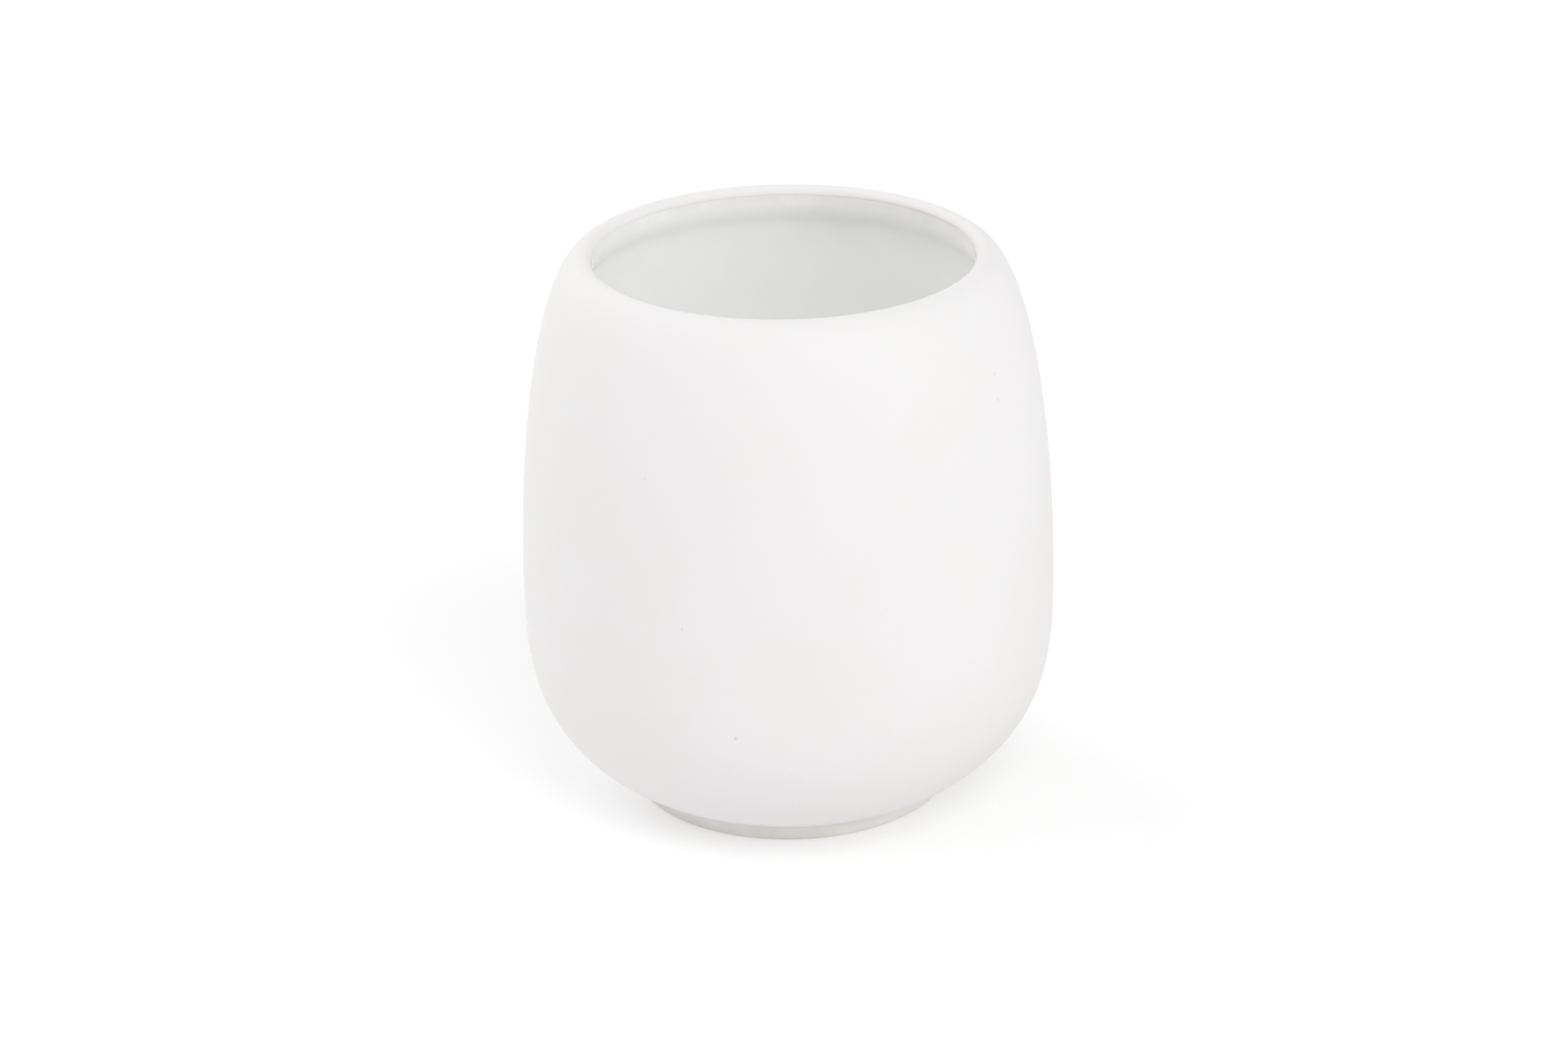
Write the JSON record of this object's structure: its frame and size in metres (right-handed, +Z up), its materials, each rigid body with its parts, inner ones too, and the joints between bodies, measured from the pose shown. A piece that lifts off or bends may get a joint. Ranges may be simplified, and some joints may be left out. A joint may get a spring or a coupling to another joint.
{
  "type": "toothbrush holder",
  "caption": "Barrel-shaped stoneware tumbler with a soft rounded lip, a narrowed mouth and a low foot ring, matt outside and glossy inside, to stand toothbrushes in.",
  "frame": {"origin": "centre of the circle on which the foot ring stands", "axes": "+Z up along the cup's axis of turning; X and Y are level and interchangeable"},
  "size_m": [0.085, 0.085, 0.09],
  "materials": {
    "matt_coat": "matt, soft to the touch, warm white",
    "gloss_glaze": "glossy, cool greyish white",
    "stoneware": "fired bare clay, fine grained and dry, greyish off-white"
  },
  "bodies": {
    "root": {"stoneware_body": "stoneware", "outer_coat": "matt_coat", "inner_glaze": "gloss_glaze"}
  },
  "joints": []
}
